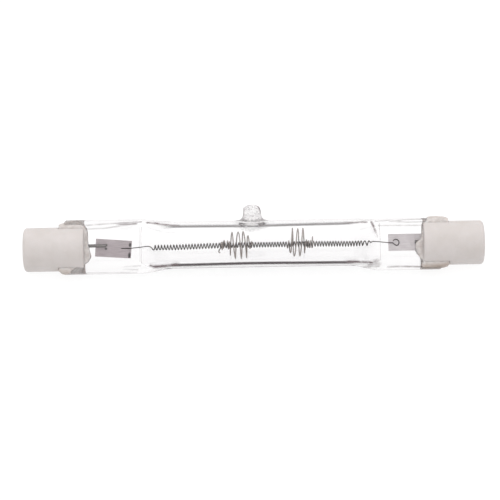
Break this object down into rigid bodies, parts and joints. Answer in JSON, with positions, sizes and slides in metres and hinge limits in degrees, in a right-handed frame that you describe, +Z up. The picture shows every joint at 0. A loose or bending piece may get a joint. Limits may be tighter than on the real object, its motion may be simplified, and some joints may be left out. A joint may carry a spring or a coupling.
{
  "type": "linear halogen bulb",
  "caption": "Slim clear quartz tube lamp with a coiled filament, pinched flat ends and slotted white ceramic caps with recessed contacts.",
  "frame": {"origin": "on the surface the lamp lies on, below the middle of its box; the caps' common axis runs 1.012 mm to the -Y side and 3.769 mm up", "axes": "+X along the lamp towards its right cap, +Z up from the surface it lies on; the exhaust tip points to +Y and up, because the lamp is turned 35.3 degrees about X, on its tube and the cement of its caps"},
  "size_m": [0.0782, 0.0106, 0.0088],
  "materials": {
    "quartz": "clear fused quartz",
    "tungsten": "drawn wire, dull",
    "support_wire": "drawn wire",
    "molybdenum_foil": "matt foil",
    "molybdenum_wire": "drawn wire",
    "ceramic": "unglazed, warm white",
    "cement": "rough, pinkish brown",
    "nickel": "nickel, satin"
  },
  "bodies": {
    "root": {"quartz_envelope": "quartz", "filament": "tungsten", "left_filament_support": "support_wire", "right_filament_support": "support_wire", "left_foil": "molybdenum_foil", "right_foil": "molybdenum_foil", "left_outer_lead": "molybdenum_wire", "right_outer_lead": "molybdenum_wire", "left_ceramic_cap": "ceramic", "right_ceramic_cap": "ceramic", "left_cap_cement": "cement", "right_cap_cement": "cement", "left_contact": "nickel", "right_contact": "nickel"}
  },
  "joints": []
}
